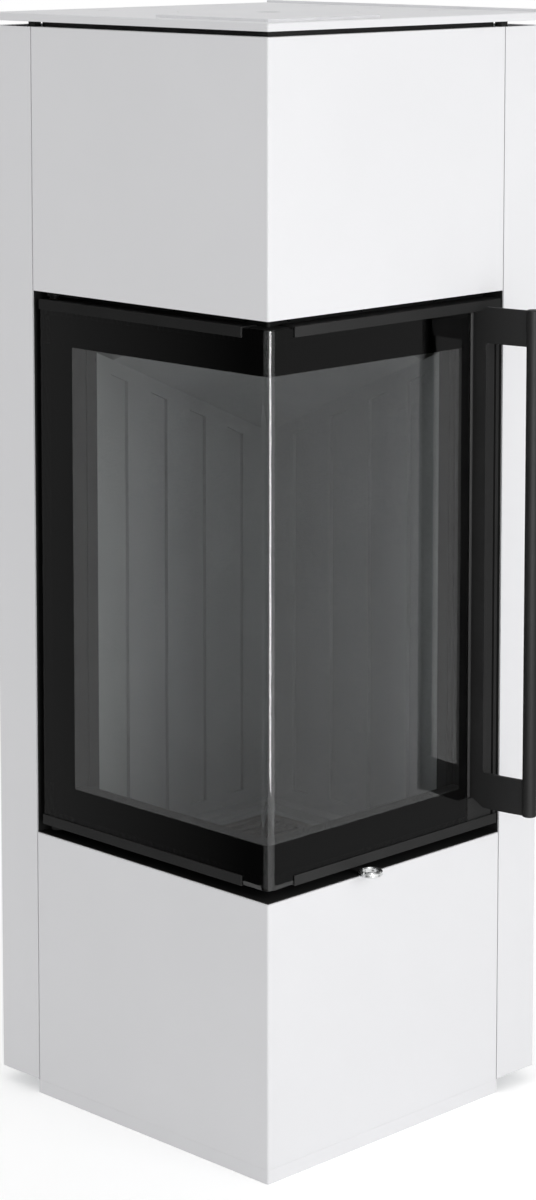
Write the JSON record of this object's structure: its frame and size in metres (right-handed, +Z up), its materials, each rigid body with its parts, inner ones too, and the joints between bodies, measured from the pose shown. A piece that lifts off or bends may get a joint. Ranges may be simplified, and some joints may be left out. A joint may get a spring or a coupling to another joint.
{
  "type": "wood stove",
  "caption": "Tall square free-standing wood stove with white sheet panels, a black corner door of bent glass with a long upright handle, and a plain top plate with a round cover.",
  "frame": {"origin": "on the floor, under the centre of the square casing", "axes": "+Z up; the two glazed faces look along -Y and +X, and the flue and air spigots leave along +Y"},
  "size_m": [0.5333, 0.488, 1.268],
  "materials": {
    "white_panel": "matt powder coat",
    "black_steel": "matt heat-resisting paint",
    "galvanised": "zinc coated",
    "fireclay": "pressed, matt",
    "cast_iron": "as cast",
    "door_glass": "clear with a black printed border",
    "rope": "woven glass rope",
    "ring": "turned and brushed",
    "bush": "turned"
  },
  "bodies": {
    "stove": {"base_tray": "white_panel", "casing_floor": "galvanised", "seam_post_left": "galvanised", "seam_post_right": "galvanised", "rear_post": "galvanised", "top_frame": "galvanised", "panel_brackets": "galvanised", "heat_shield_left": "galvanised", "heat_shield_rear": "galvanised", "lower_front_panel": "white_panel", "upper_front_panel": "white_panel", "left_side_panel": "white_panel", "rear_panel": "white_panel", "top_collar": "black_steel", "top_spacers": "black_steel", "top_plate": "white_panel", "frame_left_post": "black_steel", "frame_right_post": "black_steel", "frame_bottom_rail": "black_steel", "frame_top_rail": "black_steel", "firebox_left_wall": "black_steel", "firebox_rear_wall": "black_steel", "firebox_floor": "black_steel", "firebox_roof": "black_steel", "firebox_legs": "black_steel", "lining_left": "fireclay", "lining_rear": "fireclay", "baffle": "fireclay", "air_channel": "black_steel", "hearth": "fireclay", "ash_pit": "black_steel", "air_box": "galvanised", "air_inlet_spigot": "galvanised", "air_wash_duct": "black_steel", "flue_barrel": "black_steel", "flue_branch": "black_steel", "flue_spigot": "black_steel", "flue_cap": "black_steel", "hinge_brackets": "black_steel"},
    "door": {"door_glass": "door_glass", "door_bottom_rail": "black_steel", "door_top_rail": "black_steel", "hinge_stile": "black_steel", "latch_stile": "black_steel", "clamp_bottom": "black_steel", "clamp_top": "black_steel", "glass_tape": "rope", "door_seal": "rope", "seal_channel": "black_steel", "hinge_bushes": "bush"},
    "handle": {"handle_barrel": "black_steel", "handle_plate": "black_steel", "handle_bar": "black_steel", "latch_hooks": "galvanised"},
    "air_lever": {"lever_rod": "black_steel", "lever_ring": "ring", "air_damper": "galvanised"},
    "flue_cover": {"flue_cover": "white_panel"},
    "grate": {"grate": "cast_iron"},
    "ash_pan": {"ash_pan": "galvanised"}
  },
  "joints": [
    {"name": "door_hinge", "type": "hinge", "parent": "stove", "child": "door", "pos_m": [-0.137, -0.2075, 0.634], "axis": [0, 0, 1], "range_deg": [-100, 0]},
    {"name": "handle_turn", "type": "hinge", "parent": "door", "child": "handle", "pos_m": [0.215, 0.11, 0.647], "axis": [0, 0, 1], "range_deg": [0, 15]},
    {"name": "air_lever_slide", "type": "slide", "parent": "stove", "child": "air_lever", "axis": [1, 0, 0], "range_m": [0, 0.03]},
    {"name": "flue_cover_lift", "type": "slide", "parent": "stove", "child": "flue_cover", "axis": [0, 0, 1], "range_m": [0, 0.05]},
    {"name": "grate_lift", "type": "slide", "parent": "stove", "child": "grate", "axis": [0, 0, 1], "range_m": [0, 0.08]},
    {"name": "ash_pan_lift", "type": "slide", "parent": "stove", "child": "ash_pan", "axis": [0, 0, 1], "range_m": [0, 0.025]}
  ]
}
